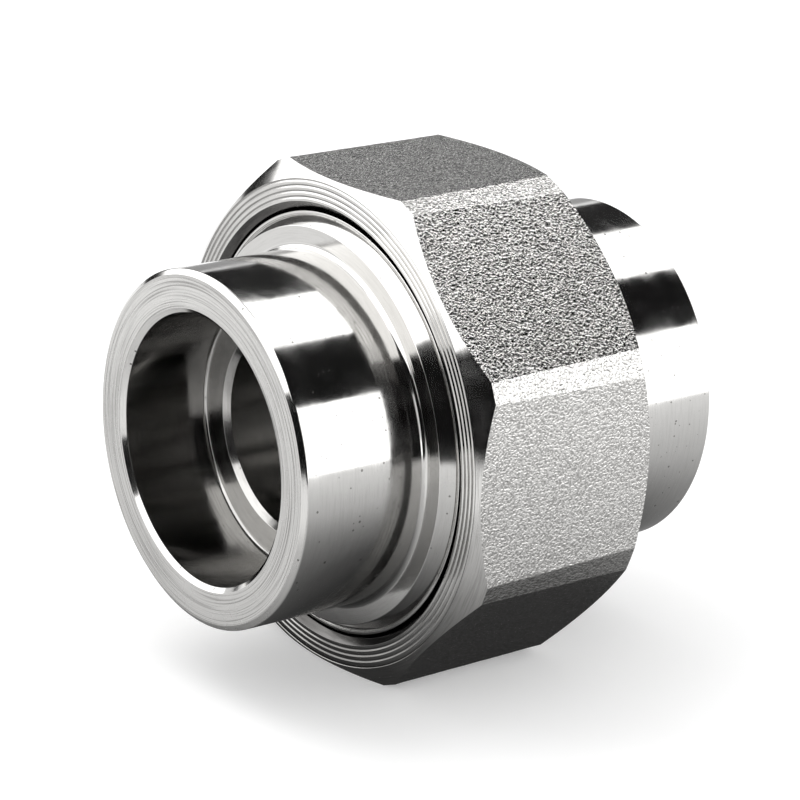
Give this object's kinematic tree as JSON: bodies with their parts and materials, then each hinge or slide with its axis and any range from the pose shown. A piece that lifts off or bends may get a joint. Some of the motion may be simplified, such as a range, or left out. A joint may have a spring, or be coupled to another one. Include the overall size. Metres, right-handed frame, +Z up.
{
  "type": "socket weld union",
  "caption": "Forged stainless steel socket weld pipe union: threaded end, tail piece and eight-sided union nut on a ball-and-cone seat.",
  "frame": {"origin": "on the union's axis at mid-length", "axes": "+X along the axis from the threaded end to the tail piece, +Z up, square to the flat that the nut stands on"},
  "size_m": [0.0632, 0.0628, 0.0628],
  "materials": {
    "threaded_end": "turned and polished",
    "union_nut": "forged and grit blasted, ends turned",
    "tail_piece": "turned and polished"
  },
  "bodies": {
    "threaded_end": {"threaded_end": "threaded_end"},
    "tail_piece": {"tail_piece": "tail_piece"},
    "union_nut": {"union_nut": "union_nut"}
  },
  "joints": [
    {"name": "tail_slide", "type": "slide", "parent": "threaded_end", "child": "tail_piece", "axis": [1, 0, 0], "range_m": [0, 0.0116]},
    {"name": "nut_turn", "type": "hinge", "parent": "tail_piece", "child": "union_nut", "pos_m": [0, 0, 0], "axis": [1, 0, 0], "range_deg": [0, 1800]}
  ],
  "couplings": [
    {"joint": "tail_slide", "follows": "nut_turn", "m_per_rad": 0.00036765}
  ]
}
